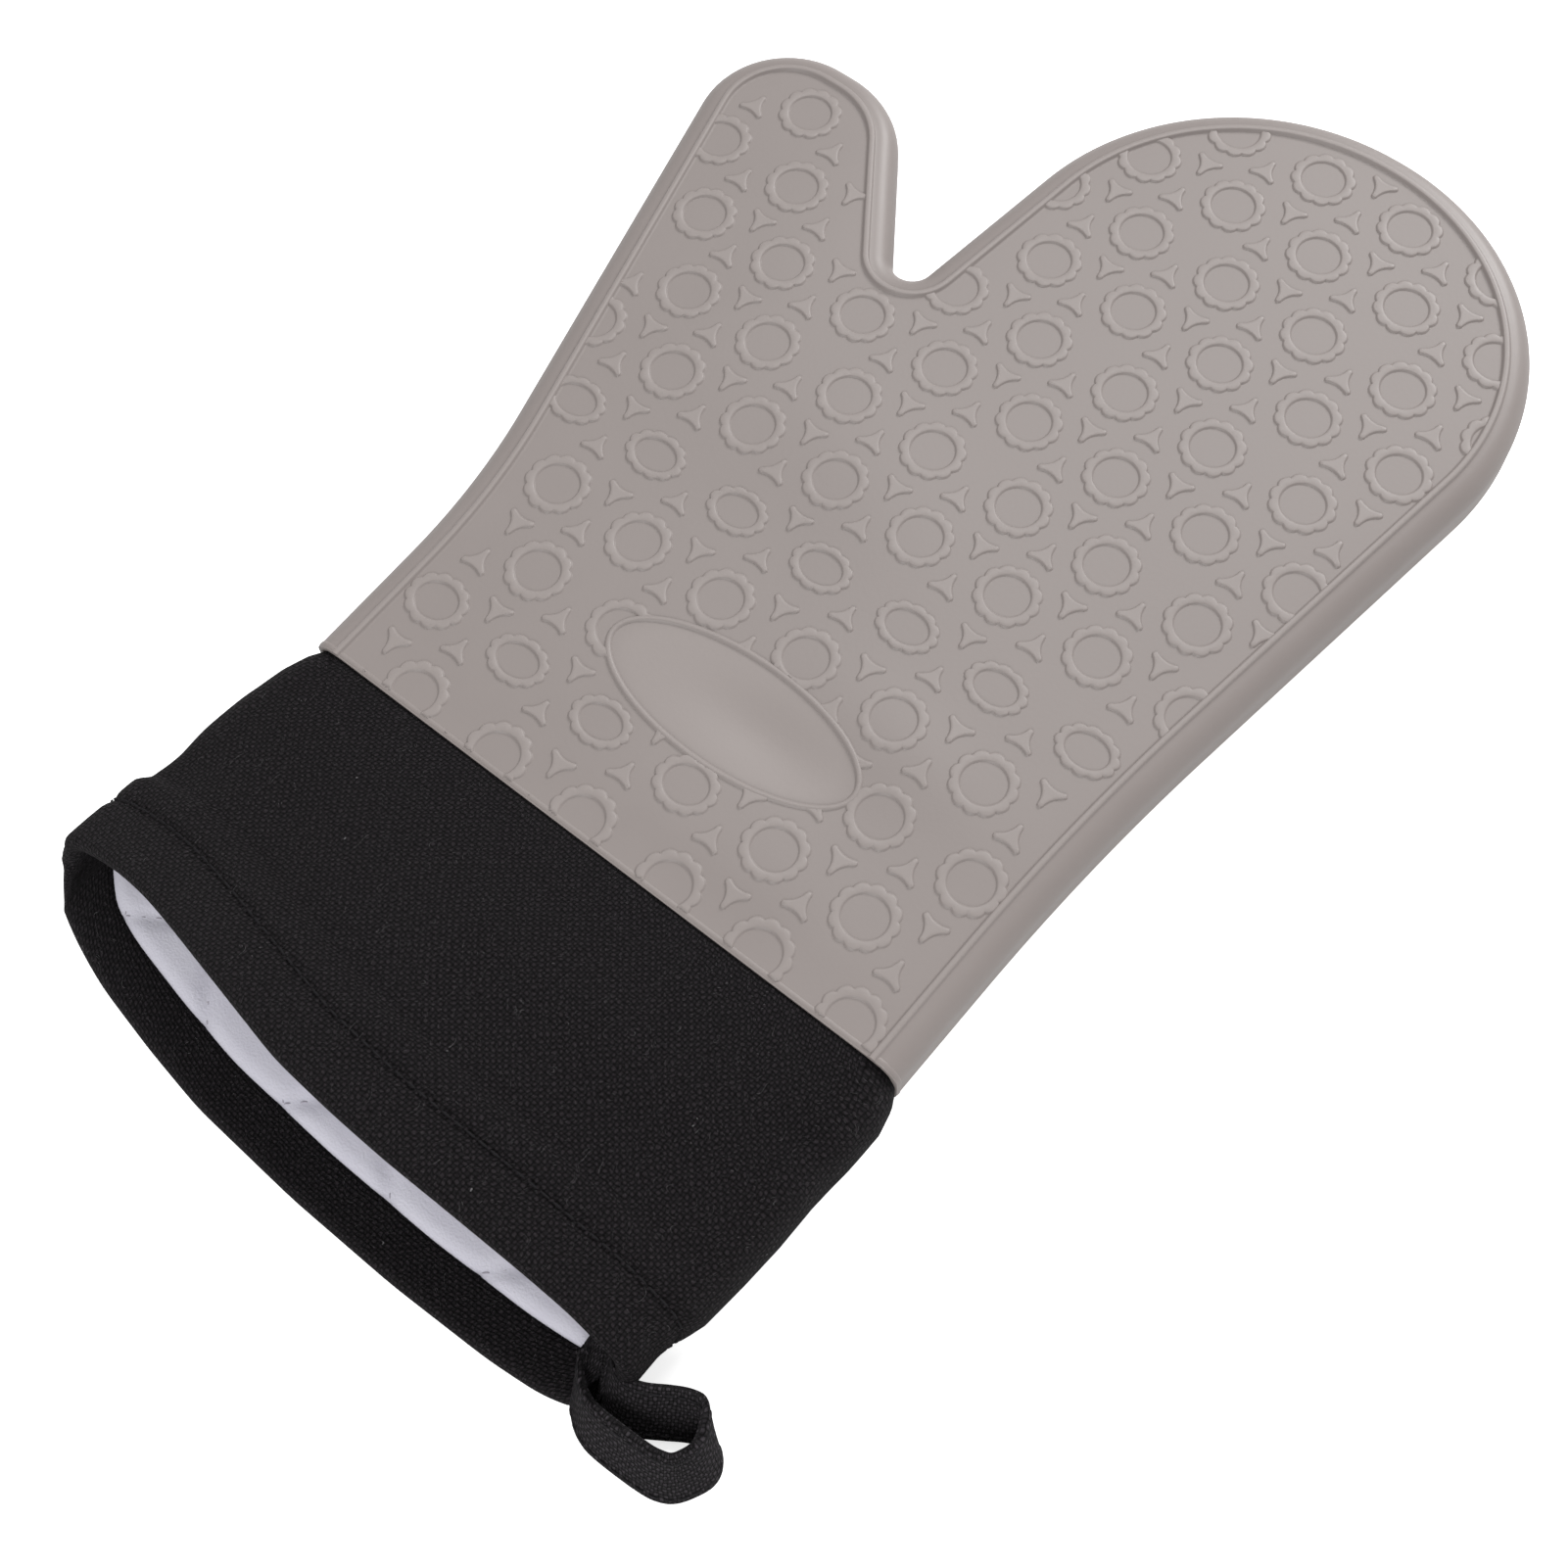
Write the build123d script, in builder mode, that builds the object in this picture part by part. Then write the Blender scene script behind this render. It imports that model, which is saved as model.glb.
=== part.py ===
"""Silicone oven mitt with a canvas cuff, quilted lining and hanging loop.

Millimetres. +Y runs from the cuff to the fingertips, +Z is up, the thumb is on the -X side.
The origin is the middle of the silicone rim's lip, on the underside that the mitt lies on.
"""
import os
from functools import cache
from math import asin, cos, radians, sin, tan

from build123d import *

# Silicone shell
shell_thickness = 20.0
shell_wall = 2.0
edge_round = 5.5
under_round = 9.0       # the edge it lies on is pressed rounder
least_round = 1.5
border = 6.5            # from the border rib's centre line out to the widest edge
relief = 0.8            # height of the rim's lip above the faces
lip_depth = 3.0

# Border rib and oval plate on the faces
rib_width = 1.4
rib_height = 0.5
oval_length = 67.0
oval_width = 28.0
oval_rim = 1.4
oval_height = 0.6
oval_x = 3.0
oval_y = 42.5

# Grip relief: rows of scalloped rings with three-armed stars between them
grip_height = 0.4
ring_pitch = 23.97
row_pitch = 19.53
row_shift = 11.39
first_ring_x = 10.1
first_ring_y = 140.0
ring_outer = 7.6
ring_inner = 5.5
ring_sides = 12         # one for each scallop
star_tip = 4.1
star_waist = 1.3

# Outline of the border rib, measured from the silicone's open edge
rim_half_width = 74.0
flare_start = 52.7
thumb_x = -109.2
thumb_reach = 190.4
thumb_width = 35.6
crotch_x = -31.7
crotch_y = 131.3
finger_left = -15.9
finger_right = 101.7
finger_reach = 249.3
palm_bulge = 1.5        # how much wider the palm is than the rim, on the little finger's side
palm_start = 65.5
flare_radius = 180.0
thumb_outer_radius = 16.3
thumb_inner_radius = 20.3
crotch_radius = 11.2
palm_radius = 600.0

# Soft layers, from the silicone inwards
canvas = 1.0
batting = 2.2
lining = 0.8

# Cuff
tuck_depth = 12.0
upper_lip = 76.0        # from the silicone's open edge to the fold of the upper hem
lower_lip = 91.5        # the same on the underside
lip_curve_height = 22.0
facing_depth = 13.0
mouth_spread_left = 18.0   # beyond the rim's rib, on the thumb's side
mouth_spread_right = 1.0
mouth_side_height = 17.0
mouth_corner = 7.5
mouth_crown = 17.0

# Hanging loop
tape_width = 12.5
tape_thickness = 2.4
loop_length = 22.0
loop_width = 19.0
loop_lean = 34.0
loop_overhang = 4.5      # beyond the upper hem, at the table
loop_stand_off = 3.0     # from the mouth's corner to the loop
loop_gap = 0.4
loop_lift = 0.6

# Places worked out from the sizes above
base_z = relief
top_z = base_z + shell_thickness
seam_z = base_z + shell_thickness / 2
rim_y = -lip_depth / 2
run_off = 4 * border    # forms overrun the rim and are cut there
mouth_y = rim_y - lower_lip - canvas
mouth_left = -rim_half_width - mouth_spread_left
mouth_right = rim_half_width + mouth_spread_right
lip_room = 3 * shell_thickness

outline = [
    Vector(-rim_half_width, rim_y - run_off),
    Vector(-rim_half_width, rim_y + flare_start),
    Vector(thumb_x, rim_y + thumb_reach),
    Vector(thumb_x + thumb_width, rim_y + thumb_reach),
    Vector(crotch_x, rim_y + crotch_y),
    Vector(finger_left, rim_y + finger_reach),
    Vector(finger_right, rim_y + finger_reach),
    Vector(rim_half_width + palm_bulge, rim_y + palm_start),
    Vector(rim_half_width, rim_y - run_off),
]


def half_turn(corner):
    """Tangent of half the angle through which the outline turns at a corner."""
    before = outline[corner] - outline[corner - 1]
    after = outline[corner + 1] - outline[corner]
    return tan(radians(before.get_angle(after) / 2))


# The fingers end in the largest round that fits their width
finger_radius = 0.99 * (finger_right - finger_left) / (half_turn(5) + half_turn(6))
corner_radii = [
    flare_radius,
    thumb_outer_radius,
    thumb_inner_radius,
    crotch_radius,
    finger_radius,
    finger_radius,
    palm_radius,
]


def hand_face(height, grow):
    """Face inside the border rib's outline, grown evenly, at one height."""
    with BuildSketch(Plane.XY.offset(height)) as face:
        with BuildLine():
            FilletPolyline(*outline, radius=corner_radii)
            Line(outline[-1], outline[0])
        make_face()
        offset(amount=grow, kind=Kind.INTERSECTION)
    return face.sketch


def upper_corner(inset):
    """Size of the upper edge's round or bevel, an inset inside the outer face."""
    return max(edge_round - inset, least_round)


def lower_corner(inset):
    """Size of the lower edge's round or bevel, an inset inside the outer face."""
    return max(under_round - inset, least_round)


@cache
def hand_form(inset):
    """Solid of the hand, an even distance inside the silicone's outer face."""
    with BuildPart() as form:
        extrude(hand_face(base_z + inset, border - inset), amount=shell_thickness - 2 * inset)
        lower = form.faces().sort_by(Axis.Z)[0].edges().sort_by(Axis.Y)[1:]
        upper = form.faces().sort_by(Axis.Z)[-1].edges().sort_by(Axis.Y)[1:]
        # The padding's edges are bevelled, the silicone's and the canvas's are round
        if inset < shell_wall + canvas:
            fillet(lower, radius=lower_corner(inset))
            fillet(upper, radius=upper_corner(inset))
        else:
            chamfer(lower, length=lower_corner(inset))
            chamfer(upper, length=upper_corner(inset))
        split(bisect_by=Plane.XZ.offset(-rim_y), keep=Keep.BOTTOM)
    return form.part


def cuff_section(y, left, right, low, side, crown, lower, upper, rounded):
    """Section across the cuff: flat below, round or bevelled corners, flat or crowned top."""
    middle = (left + right) / 2
    half = (right - left) / 2
    reach = half - upper
    # Angle at which a crowned top leaves its corners
    slope = asin(2 * crown * reach / (reach**2 + crown**2))
    shoulder_x = reach + upper * sin(slope)
    shoulder_z = side - upper + upper * cos(slope)
    with BuildSketch(Plane.XZ.offset(-y)) as section:
        with BuildLine():
            Line((middle - half + lower, low), (middle + half - lower, low))
            Line((right, low + lower), (right, side - upper))
            Line((left, low + lower), (left, side - upper))
            if rounded:
                TangentArc((middle + half - lower, low), (right, low + lower), tangent=(1, 0))
                TangentArc((right, side - upper), (middle + shoulder_x, shoulder_z), tangent=(0, 1))
                TangentArc((left, side - upper), (middle - shoulder_x, shoulder_z), tangent=(0, 1))
                TangentArc((middle - half + lower, low), (left, low + lower), tangent=(-1, 0))
            else:
                Line((middle + half - lower, low), (right, low + lower))
                Line((right, side - upper), (middle + shoulder_x, shoulder_z))
                Line((left, side - upper), (middle - shoulder_x, shoulder_z))
                Line((middle - half + lower, low), (left, low + lower))
            if crown > 0:
                ThreePointArc(
                    (middle + shoulder_x, shoulder_z),
                    (middle, side + crown),
                    (middle - shoulder_x, shoulder_z),
                )
            else:
                Line((middle + shoulder_x, shoulder_z), (middle - shoulder_x, shoulder_z))
        make_face()
    return section.sketch


@cache
def cuff_form(inset):
    """Solid of the cuff from the rim to past its lips, at the same insets as the hand."""
    half_rim = rim_half_width + border - inset
    inside = inset - shell_wall
    rounded = inset < shell_wall + canvas
    rim = cuff_section(
        rim_y,
        -half_rim,
        half_rim,
        base_z + inset,
        top_z - inset,
        0,
        lower_corner(inset),
        upper_corner(inset),
        rounded,
    )
    mouth = cuff_section(
        mouth_y,
        mouth_left + inside,
        mouth_right - inside,
        inside,
        mouth_side_height - inside,
        mouth_crown,
        mouth_corner - inside,
        mouth_corner - inside,
        rounded,
    )
    with BuildPart() as form:
        loft([rim, mouth], ruled=True)
    return form.part


def lip_zone(setback):
    """Everything inwards of the mouth's lips, set back from their folds."""
    upper_y = rim_y - upper_lip + setback
    lower_y = rim_y - lower_lip + setback
    far_y = rim_y + lip_room
    with BuildPart() as zone:
        with BuildSketch(Plane.YZ):
            with BuildLine():
                Line((upper_y, lip_room), (upper_y, lip_curve_height))
                TangentArc((upper_y, lip_curve_height), (lower_y, 0), tangent=(0, -1))
                Polyline(
                    (lower_y, 0),
                    (lower_y, -lip_room),
                    (far_y, -lip_room),
                    (far_y, lip_room),
                    (upper_y, lip_room),
                )
            make_face()
        extrude(amount=2 * rim_half_width, both=True)
    return zone.part


def ring_place(column, row):
    """Middle of one ring of the grip relief."""
    x = first_ring_x + column * ring_pitch - row * row_shift
    return Vector(x, rim_y + first_ring_y + row * row_pitch)


def star_points(turn):
    """Corners of a three-armed star, one arm at the given angle."""
    points = []
    for arm in range(3):
        angle = radians(turn + 120 * arm)
        points.append((star_tip * cos(angle), star_tip * sin(angle)))
        angle += radians(60)
        points.append((star_waist * cos(angle), star_waist * sin(angle)))
    return points


def grip_marks(height, oval):
    """Rings and stars of one face, cut off at the border rib, the rim's lip and the oval."""
    inside = hand_face(0, 0).face()
    rings = []
    stars = {90: [], -90: []}
    for row in range(-8, 7):
        for column in range(-9, 9):
            here = ring_place(column, row)
            left_above = ring_place(column, row + 1)
            above = ring_place(column + 1, row + 1)
            beside = ring_place(column + 1, row)
            rings.append(here)
            stars[90].append((here + left_above + above) / 3)
            # Every other star is left out of every other row
            if row % 2 == 0 or (column - (row - 1) // 2) % 2:
                stars[-90].append((here + beside + above) / 3)
    with BuildSketch(Plane.XY.offset(height)) as marks:
        with Locations(*[place for place in rings if inside.is_inside(place)]):
            RegularPolygon(ring_outer, ring_sides)
            RegularPolygon(ring_inner, ring_sides, mode=Mode.SUBTRACT)
        for turn, places in stars.items():
            with Locations(*[place for place in places if inside.is_inside(place)]):
                Polygon(*star_points(turn), align=None)
        add(hand_face(height, 0), mode=Mode.INTERSECT)
        with Locations((0, rim_y + lip_depth / 2 - run_off / 2)):
            Rectangle(3 * rim_half_width, run_off, mode=Mode.SUBTRACT)
        if oval:
            with Locations((oval_x, rim_y + oval_y)):
                Ellipse(
                    (oval_length - oval_rim) / 2,
                    (oval_width - oval_rim) / 2,
                    mode=Mode.SUBTRACT,
                )
    return marks.sketch


# Silicone shell: rounded wall, lip, border ribs, grip relief and oval plate
with BuildPart() as rim_lip:
    add(hand_form(-relief))
    split(bisect_by=Plane.XZ.offset(-(rim_y + lip_depth)), keep=Keep.TOP)

with BuildPart() as border_ribs:
    for low_z in (base_z - rib_height, top_z - shell_wall / 2):
        extrude(hand_face(low_z, rib_width / 2), amount=rib_height + shell_wall / 2)
        extrude(
            hand_face(low_z, -rib_width / 2),
            amount=rib_height + shell_wall / 2,
            mode=Mode.SUBTRACT,
        )
    split(bisect_by=Plane.XZ.offset(-rim_y), keep=Keep.BOTTOM)

with BuildPart() as grip_relief:
    extrude(grip_marks(top_z - shell_wall / 2, True), amount=shell_wall / 2 + grip_height)
    extrude(
        grip_marks(base_z - grip_height, False),
        amount=shell_wall / 2 + grip_height,
        clean=False,
    )

with BuildPart() as silicone_shell:
    add(hand_form(0))
    add(rim_lip.part)
    add(border_ribs.part)
    with BuildSketch(Plane.XY.offset(top_z - shell_wall / 2)):
        with Locations((oval_x, rim_y + oval_y)):
            Ellipse(oval_length / 2, oval_width / 2)
            Ellipse(oval_length / 2 - oval_rim, oval_width / 2 - oval_rim, mode=Mode.SUBTRACT)
    extrude(amount=shell_wall / 2 + oval_height)
    add(hand_form(shell_wall), mode=Mode.SUBTRACT)
    add(grip_relief.part, clean=False)
silicone_shell.part.label = "silicone_shell"


def hand_layer(inset, depth):
    """Even layer lining the hand, from one inset to the next."""
    with BuildPart() as layer:
        add(hand_form(inset))
        add(hand_form(inset + depth), mode=Mode.SUBTRACT)
    return layer.part


def cuff_layer(inset, depth, setback):
    """Even layer round the cuff, out to a setback from the lips."""
    with BuildPart() as layer:
        add(cuff_form(inset))
        add(cuff_form(inset + depth), mode=Mode.SUBTRACT)
        add(lip_zone(setback), mode=Mode.INTERSECT)
    return layer.part


# Insets of the soft layers' outer faces
batting_inset = shell_wall + canvas
lining_inset = batting_inset + batting
facing_inset = lining_inset + lining

# Canvas: a tube tucked inside the silicone rim, its hem folded round the lining's edge
with BuildPart() as tuck:
    add(hand_layer(shell_wall, canvas))
    split(bisect_by=Plane.XZ.offset(-(rim_y + tuck_depth)), keep=Keep.TOP)

with BuildPart() as fold:
    add(cuff_layer(batting_inset, batting + lining, 0))
    add(lip_zone(canvas), mode=Mode.SUBTRACT)

with BuildPart() as facing:
    add(cuff_layer(facing_inset, canvas, 0))
    add(lip_zone(facing_depth), mode=Mode.SUBTRACT)

with BuildPart() as canvas_tube:
    add(tuck.part)
    add(cuff_layer(shell_wall, canvas, 0))
    add(fold.part)
    add(facing.part)

# Quilted bag: batting outside, lining inside, both caught in the hem
with BuildPart() as batting_bag:
    add(hand_layer(batting_inset, batting))
    add(cuff_layer(batting_inset, batting, canvas))

with BuildPart() as lining_bag:
    add(hand_layer(lining_inset, lining))
    add(cuff_layer(lining_inset, lining, canvas))

# Each soft tube is two panels, joined along the side seams
seam = Plane.XY.offset(seam_z)
panels = []
for tube, panel_name in ((canvas_tube, "cuff"), (batting_bag, "batting"), (lining_bag, "lining")):
    for side_name, side in (("top", Keep.TOP), ("bottom", Keep.BOTTOM)):
        with BuildPart() as panel:
            add(tube.part)
            split(bisect_by=seam, keep=side)
        panel.part.label = f"{panel_name}_{side_name}"
        panels.append(panel.part)

# Hanging loop: canvas tape standing on its edge, leaning towards the fingers
lean_direction = (0, sin(radians(loop_lean)), cos(radians(loop_lean)))
loop_start = mouth_right + loop_stand_off
loop_y = rim_y - upper_lip - loop_overhang
with BuildPart() as hanging_loop:
    with BuildSketch(Plane.XY.offset(loop_lift)):
        with Locations((loop_start + loop_length / 2, loop_y)):
            SlotOverall(loop_length, loop_width)
            SlotOverall(
                loop_length - 2 * tape_thickness,
                loop_width - 2 * tape_thickness,
                mode=Mode.SUBTRACT,
            )
    extrude(amount=tape_width, dir=lean_direction)
hanging_loop.part.label = "hanging_loop"

# The tape's two ends, laid together and sewn against the corner of the cuff
root_length = loop_stand_off - loop_gap + mouth_corner
with BuildPart() as loop_root:
    with BuildSketch(Plane.XY.offset(loop_lift)):
        with Locations((loop_start - loop_gap - root_length / 2, loop_y)):
            Rectangle(root_length, 2 * tape_thickness)
    extrude(amount=tape_width, dir=lean_direction)
    add(cuff_form(shell_wall), mode=Mode.SUBTRACT)
loop_root.part.label = "loop_root"

os.makedirs("parts", exist_ok=True)
for piece in (silicone_shell.part, *panels, hanging_loop.part, loop_root.part):
    export_step(piece, f"parts/{piece.label}.step")
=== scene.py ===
"""Looks of the silicone oven mitt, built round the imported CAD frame.

Lengths are millimetres, and make_mesh turns them into metres.
"""

import math

import bpy
import numpy as np
from mathutils import Matrix, Vector, geometry, kdtree


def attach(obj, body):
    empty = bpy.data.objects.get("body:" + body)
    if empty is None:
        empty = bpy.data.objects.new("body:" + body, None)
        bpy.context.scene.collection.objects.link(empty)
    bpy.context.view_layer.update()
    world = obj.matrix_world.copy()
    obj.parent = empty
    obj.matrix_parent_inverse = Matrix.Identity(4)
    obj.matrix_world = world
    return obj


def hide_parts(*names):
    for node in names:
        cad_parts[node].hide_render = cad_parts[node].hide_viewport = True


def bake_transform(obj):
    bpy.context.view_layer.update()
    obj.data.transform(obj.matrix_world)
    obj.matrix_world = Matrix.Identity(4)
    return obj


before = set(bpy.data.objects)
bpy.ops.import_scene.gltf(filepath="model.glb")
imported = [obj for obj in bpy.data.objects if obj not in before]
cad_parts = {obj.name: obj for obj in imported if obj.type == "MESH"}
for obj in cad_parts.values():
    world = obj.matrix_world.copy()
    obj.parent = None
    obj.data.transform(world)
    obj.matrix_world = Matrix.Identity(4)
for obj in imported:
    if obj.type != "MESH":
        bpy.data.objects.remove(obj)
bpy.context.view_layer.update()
scene = bpy.context.scene

MILLIMETRE = 0.001

# Silicone
THICKNESS = 20.0
BASE = 0.8  # height of the lower face over the table
TOP = BASE + THICKNESS
RIM_Y = -1.5  # the silicone's open end
RIM_HALF = 74.0  # half the rim's width at the rib's centre line
BORDER = 6.5  # from the rib's centre line to the outer edge
UPPER_EDGE = 5.5  # radius of the outer edge above
LOWER_EDGE = 9.0  # radius of the outer edge below
RIB_HEIGHT = 0.75
RIB_TOP = 0.45  # half the rib's width at its top
RIB_FOOT = 1.1  # half the rib's width at its foot
LIP_DEPTH = 1.5
EDGE_FADE = (-8, BORDER)  # offsets from the rib line over which the upper face evens out
RIM_FADE = (0, 14)  # the same from the rim
EDGE_STEP = 1.6  # between the points along the border
FINE_STEP = 0.3  # the same where distances are measured
PANEL_STEP = 2.6  # between the points of a face
PANEL_LEFT, PANEL_RIGHT, PANEL_END = -115, 105, 250

# Oval plate
OVAL_MIDDLE = np.array([3.0, RIM_Y + 42.5])
OVAL_LONG = 33.6  # half its length
OVAL_WIDE = 14.05  # half its width
OVAL_TILT = math.radians(0.5)
OVAL_HEIGHT = 0.5
OVAL_RIM_PAINTED_LIGHT = 0.8  # share of the painted light's lighter tone on the rim
OVAL_SHARPNESS = 6  # how quickly the plate's painted highlight starts inside its edge

# Grip marks
RELIEF = 0.4  # height of rings and stars
SUNK = -0.5  # height of a mark's hidden part
LIP_OVERLAP = 0.6  # how far a mark may reach under the lip
OVAL_OVERLAP = 0.75  # and under the oval's rim
FIRST_RING = np.array([10.115, RIM_Y + 139.993])
NEXT_RING = np.array([23.968, -0.095])
NEXT_ROW = np.array([11.390, -19.525])
RING_ROWS = range(-7, 9)
RING_COLUMNS = range(-9, 9)
RING_HOLE = 5.2  # radius of the hole
RING_WAIST = 7.0  # radius between two lobes
RING_LOBE = 0.7  # how far a lobe stands out
RING_LOBES = 12
RING_TURN = 0.6  # turn from one ring to the next, in radians
ROW_TURN = 1.1  # and from one row to the next
RING_OVERHANG = 2.0  # how far outside the rib line a ring's middle may lie
EXTRA_RING = (5, -3)  # column and row of one ring further out
STAR_TIP = 3.8  # length of an arm
STAR_ARM = 0.7  # half the width of an arm
STAR_WAIST = 1.1  # how near the middle the concave sides are drawn
STAR_ROOM = 2.4  # from a star's middle to the rib line, at least
PALM_CREASE_Y, PALM_SQUEEZE = 79.5, 0.24
WRIST_CREASE_X, WRIST_CREASE_Y, WRIST_SQUEEZE = -30, 20.5, 0.27
CREASE_REACH = 7  # along the mitt
CREASE_WIDTH = 40  # across it, at the wrist

# Cuff and lining
TUCK_ROWS = (6.0, 2.5)  # y of the cloth's first rows, tucked inside the rim
TUCK_Y = RIM_Y + 1.6  # where the closer rows start, still inside the rim
HEM_HALF = 2.5  # half the thickness of the rolled hem
FACING = 11.3  # from the fold to the end of the hem's inner side
FACING_GAP = 1.5  # from the roll to the facing's first row
FACING_TURN = 0.8  # how far its end is turned under
FACING_EXTRA = 4.5  # more of it at the thumb's side
FACING_SIDE = (-93, -74)  # x over which that ends
HEM_SEAM = 14.0  # from the fold to the row of stitches
SEAM_DEPTH = 0.75  # of the groove along the stitches
SEAM_REACH = 1.4
SEAM_SINK = 0.35  # how deep the stitches lie
HEM_STEP = 21.5  # from the fold to where the hem's second layer ends
HEM_LAYER = 1.8  # thickness of that layer
HEM_LAYER_END = (-1.5, 2.0)  # distances past the step over which the cuff drops
HEM_LAYER_FADE = (8, 30)  # and rises again
HEM_LAYER_SIDE = (58, 74)  # x over which the layer thins out
LINING_INSET = 2 * HEM_HALF - 0.6
LINING_END_Y = 2.0
LINING_REACH = 90.0  # from the fold to the lining's last row in the cuff
LINING_STEP = 1.3
LINING_DEPTH = 5.4  # from the silicone's face to the lining
LINING_EDGE = 3.6  # radius of the lining's edge
LINING_BORDER = 2.5  # how far inside the rib line its rounding starts
QUILT_PITCH = 56.0
QUILT_PUFF = 1.1
QUILT_FULLNESS = 14  # the higher, the narrower the seams
PUFF_EDGE, PUFF_RIM, PUFF_FACING = (4, 9), (0, 6), (-0.5, 3)  # distances over which it sets in
QUILT_SHOWN = 62.0  # from the fold to the last stitch

# Loop tape
TAPE_WIDE = 12.5
TAPE_HALF = 1.1  # half the thickness of the folded tape


# Small helpers
def smoothstep(start, end, x):
    """0 up to start, 1 from end on, and a smooth rise between."""
    t = np.clip((x - start) / (end - start), 0, 1)
    return t * t * (3 - 2 * t)


def unit(vector):
    return vector / np.linalg.norm(vector)


def unit_rows(rows):
    return rows / np.linalg.norm(rows, axis=1)[:, None]


def lengths(points):
    """Distance along a line of points, from its start to each of them."""
    return np.concatenate([[0], np.cumsum(np.linalg.norm(np.diff(points, axis=0), axis=1))])


def between(at, run, rows):
    """Values at a distance along a line, between the rows that stand at the distances in run."""
    return np.array([np.interp(at, run, rows[:, k]) for k in range(rows.shape[1])])


def turned(xy, angle):
    c, s = math.cos(angle), math.sin(angle)
    return np.column_stack([c * xy[:, 0] - s * xy[:, 1], s * xy[:, 0] + c * xy[:, 1]])


def bumps(x, y, rows):
    """Sum of soft bumps: middle x and y, reach along its own x and y, turn in degrees, height."""
    total = np.zeros(len(x))
    for middle_x, middle_y, reach_x, reach_y, turn, height in rows:
        u, v = turned(np.column_stack([x - middle_x, y - middle_y]), -math.radians(turn)).T
        total += height * np.exp(-((u / reach_x) ** 2) - (v / reach_y) ** 2)
    return total


def make_mesh(name, points, faces, uv=None, raised=None):
    """Smooth mesh from points in millimetres, with a UV pair or a raised share per point if given; that
    share sets how much painted light a point gets.
    """
    mesh = bpy.data.meshes.new(name)
    metres = np.asarray(points, float) * MILLIMETRE
    mesh.from_pydata(metres.tolist(), [], [tuple(int(i) for i in face) for face in faces])
    mesh.validate()
    if uv is not None:
        layer = mesh.uv_layers.new(name="cloth")
        corners = np.empty(len(mesh.loops), int)
        mesh.loops.foreach_get("vertex_index", corners)
        layer.data.foreach_set("uv", np.asarray(uv, float)[corners].ravel())
    if raised is not None:
        share = mesh.attributes.new("raised", "FLOAT", "POINT")
        share.data.foreach_set("value", np.asarray(raised, float))
    mesh.polygons.foreach_set("use_smooth", np.ones(len(mesh.polygons), bool))
    obj = bpy.data.objects.new(name, mesh)
    scene.collection.objects.link(obj)
    return obj


def grid(rows, columns, closed=False, flip=False):
    """Quads over points numbered row by row, with each row closed to a ring if asked."""
    quads = []
    for row in range(rows - 1):
        for column in range(columns if closed else columns - 1):
            a = row * columns + column
            b = row * columns + (column + 1) % columns
            c, d = b + columns, a + columns
            quads.append((a, d, c, b) if flip else (a, b, c, d))
    return quads


class Pile:
    """Points and faces gathered into one mesh."""

    def __init__(self):
        self.points = []
        # share of painted light per point: a lighter tone on the silicone's raised tops
        self.raised = []
        self.faces = []
        self.count = 0

    def add(self, points, faces, raised=0.0):
        points = np.asarray(points, float)
        self.points.append(points)
        self.raised.append(np.broadcast_to(raised, len(points)))
        self.faces.extend(tuple(i + self.count for i in face) for face in faces)
        self.count += len(points)

    def make(self, name):
        return make_mesh(name, np.vstack(self.points), self.faces, raised=np.concatenate(self.raised))


# Centre line of the border rib: its corners, and the radius at each corner between the two ends
CORNERS = np.array([
    (-RIM_HALF, 0), (-RIM_HALF, 52.7), (-109.2, 190.4), (-73.6, 190.4), (-31.7, 131.3),
    (-15.9, 249.3), (101.7, 249.3), (75.5, 65.5), (RIM_HALF, 0),
]) + (0, RIM_Y)
FINGER_LEFT, FINGER_RIGHT = 5, 6  # the two corners over the fingers
FINGER_FULLNESS = 0.99  # at 1 their arcs would meet


def corner_sides(corner):
    """Directions of the straight lines before and after a corner."""
    return unit(CORNERS[corner] - CORNERS[corner - 1]), unit(CORNERS[corner + 1] - CORNERS[corner])


def tangent_share(corner):
    """How much of each side a corner's arc takes up, per unit of its radius."""
    before, after = corner_sides(corner)
    return math.tan(math.acos(np.clip(before @ after, -1, 1)) / 2)


finger_top = CORNERS[FINGER_RIGHT, 0] - CORNERS[FINGER_LEFT, 0]
finger_radius = FINGER_FULLNESS * finger_top / (tangent_share(FINGER_LEFT) + tangent_share(FINGER_RIGHT))
RADII = [180, 16.3, 20.3, 11.2, finger_radius, finger_radius, 600]


def outline(step):
    """Evenly spaced points along the rib's centre line, and their outward normals."""
    dense = [CORNERS[0]]
    for corner, radius in enumerate(RADII, start=1):
        before, after = corner_sides(corner)
        turn = math.atan2(before[0] * after[1] - before[1] * after[0], before @ after)
        first = CORNERS[corner] - before * radius * math.tan(abs(turn) / 2)
        side = np.array([-before[1], before[0]]) * math.copysign(1, turn)
        centre = first + side * radius
        for angle in np.linspace(0, turn, max(8, int(abs(turn) * radius / FINE_STEP))):
            dense.append(centre + turned((first - centre)[None], angle)[0])
    dense = np.array(dense + [CORNERS[-1]])
    tiny = 1e-6
    apart = np.linalg.norm(np.diff(dense, axis=0), axis=1) > tiny
    dense = dense[np.concatenate([[True], apart])]
    run = lengths(dense)
    at = np.linspace(0, run[-1], int(run[-1] / step) + 1)
    points = between(at, run, dense).T
    along = unit_rows(np.gradient(points, axis=0))
    along[0] = (0, 1)
    along[-1] = (0, -1)
    return points, np.column_stack([-along[:, 1], along[:, 0]])


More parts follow.
